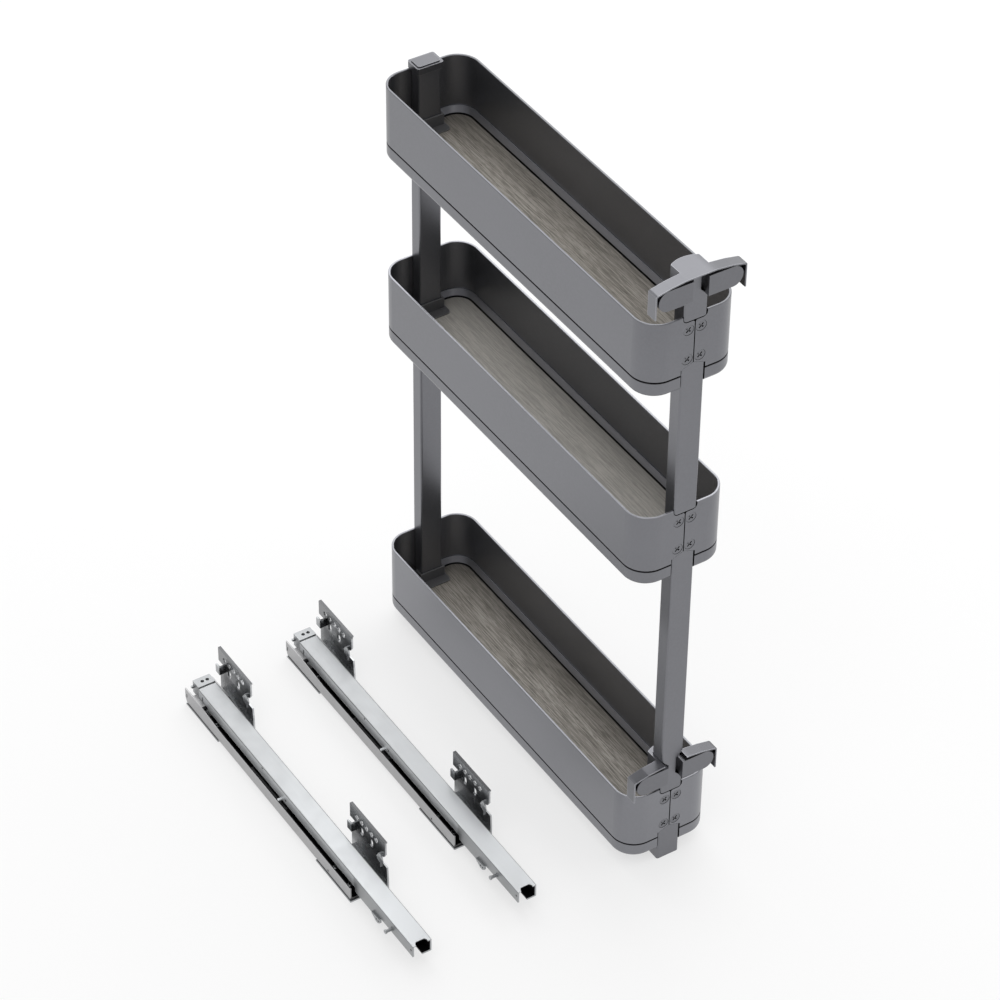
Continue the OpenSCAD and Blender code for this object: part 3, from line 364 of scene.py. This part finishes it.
looks = {
    "post_paint": paint("post_look", GREY, mask=post_painted_shade),
    "band_paint": paint("band_look", GREY, mask=band_highlight_and_shade),
    "tray_paint": paint("tray_look", GREY, 0.8, mask=tray_highlight_and_shade),
    "screw_paint": paint("screw_look", tint(GREY, 0.95), gaps=(0.5, 0.95)),
    "collar_grey": plastic("collar_look", COLLAR_GREY, 0.4, 0.5),
    "cap_plastic": plastic("cap_look", tint(GREY, 0.76), 0.3, 0.85),
    "lug_paint": paint("lug_look", tint(GREY, 0.9)),
    "hood_plastic": plastic("hood_look", GREY, 0.28, 0.88, hood_painted_shade),
    "floor_wood": wood("floor_look"),
    "rail_zinc": zinc("rail_look", RAIL_GREY, 0.32, mask=rail_painted_shade, metal=0.8),
    "slide_zinc": zinc("slide_look", ZINC, 0.36, mask=slide_highlight_and_shade, metal=0.55),
    "bracket_zinc": zinc("bracket_look", tint(ZINC, 0.85), 0.24, mask=plate_painted_reflection),
    "block_zinc": zinc("block_look", tint(ZINC, 0.85), 0.32, (1, 1, 1), block_painted_shade, 0.7),
    "rivet_zinc": zinc("rivet_look", tint(ZINC, 0.9), 0.3, (1, 1, 1)),
    "latch_steel": zinc("latch_look", tint(ZINC, 0.8), 0.3, (1, 1, 1)),
    "cage_plastic": plastic("cage_look", CAGE_BLACK, 0.45),
    "ball_steel": zinc("ball_look", tint(ZINC, 1.3), 0.14, (1, 1, 1)),
}
for subpart in frame["record"]["subparts"]:
    piece = nodes[subpart["node"]]
    finish = looks[subpart["material_slot"]].mat
    if not piece.material_slots:
        piece.data.materials.append(finish)
    for slot in piece.material_slots:
        slot.material = finish

bpy.context.scene.view_settings.view_transform = "Standard"

# Camera at the photograph's place. Its focal length is in pixels of the photograph, its angles in radians.
SENSOR_WIDTH = 36
PHOTO_WIDTH = 1000
FOCAL_PIXELS = 3796.3
CAMERA_PLACE = (-1.4344, -2.5432, 2.6346)
HEADING = 0.5713
TILT_DOWN = 0.7018
ROLL = 0.0113

cam_data = bpy.data.cameras.new("camera")
cam_data.sensor_width = SENSOR_WIDTH
cam_data.lens = FOCAL_PIXELS * SENSOR_WIDTH / PHOTO_WIDTH
cam_data.clip_end = 50
cam = bpy.data.objects.new("camera", cam_data)
bpy.context.scene.collection.objects.link(cam)
level = math.cos(TILT_DOWN)
forward = Vector((math.sin(HEADING) * level, math.cos(HEADING) * level, -math.sin(TILT_DOWN)))
level_right = Vector((math.cos(HEADING), -math.sin(HEADING), 0))
level_up = level_right.cross(forward)
cam_right = level_right * math.cos(ROLL) + level_up * math.sin(ROLL)
cam_up = level_up * math.cos(ROLL) - level_right * math.sin(ROLL)
turn = Matrix((cam_right, cam_up, -forward)).transposed()
cam.matrix_world = Matrix.Translation(CAMERA_PLACE) @ turn.to_4x4()
bpy.context.scene.camera = cam

# Floor and light. The floor glows white where the camera and reflections see it, and keeps the shadow.
FLOOR_Z = -0.0508
FLOOR_REACH = 20
FLOOR_GREY = (0.34, 0.34, 0.34, 1)
BOUNCE_GREY = (0.7, 0.7, 0.7, 1)
FLOOR_GLOW = 0.62
WORLD_LIGHT = 0.7
WHITE = (1, 1, 1, 1)
floor_mesh = bpy.data.meshes.new("floor")
corners = [(-1, -1), (1, -1), (1, 1), (-1, 1)]
floor_mesh.from_pydata([(x * FLOOR_REACH, y * FLOOR_REACH, FLOOR_Z) for x, y in corners], [], [(0, 1, 2, 3)])
floor = bpy.data.objects.new("floor", floor_mesh)
bpy.context.scene.collection.objects.link(floor)
k = Look("ground_look")
k.tree.nodes.remove(k.bsdf)
out = k.tree.nodes["Material Output"]
path = k.node("ShaderNodeLightPath")
seen = k.math("MAXIMUM", path.outputs["Is Camera Ray"], path.outputs["Is Transmission Ray"])
seen = k.math("MAXIMUM", seen, path.outputs["Is Glossy Ray"])
shade = k.node("ShaderNodeBsdfDiffuse")
shade.inputs[0].default_value = FLOOR_GREY
glow = k.node("ShaderNodeEmission")
glow.inputs[0].default_value = WHITE
glow.inputs[1].default_value = FLOOR_GLOW
add = k.node("ShaderNodeAddShader")
k.link(shade.outputs[0], add.inputs[0])
k.link(glow.outputs[0], add.inputs[1])
plain = k.node("ShaderNodeBsdfDiffuse")
plain.inputs[0].default_value = BOUNCE_GREY
pick = k.node("ShaderNodeMixShader")
k.link(seen, pick.inputs[0])
k.link(plain.outputs[0], pick.inputs[1])
k.link(add.outputs[0], pick.inputs[2])
k.link(pick.outputs[0], out.inputs[0])
floor_mesh.materials.append(k.mat)

world = bpy.data.worlds.new("world")
bpy.context.scene.world = world
world.use_nodes = True
back = world.node_tree.nodes["Background"]
back.inputs[0].default_value = WHITE
back.inputs[1].default_value = WORLD_LIGHT


def lamp(name, place, aim, size, power):
    d = bpy.data.lights.new(name, "AREA")
    d.shape = "DISK"
    d.size = size
    d.energy = power
    o = bpy.data.objects.new(name, d)
    bpy.context.scene.collection.objects.link(o)
    o.location = place
    o.rotation_mode = "QUATERNION"
    o.rotation_quaternion = (Vector(aim) - Vector(place)).to_track_quat("-Z", "Y")


lamp("key", (-1.6, -1.2, 3.2), (0.0, -0.2, 0.2), 2.2, 14)
lamp("fill", (2.4, -1.6, 2.2), (0.0, -0.2, 0.2), 2.2, 8)
lamp("rear_softbox", (1.15, 1.4, 2.35), (0.0, -0.2, 0.1), 4.0, 54)
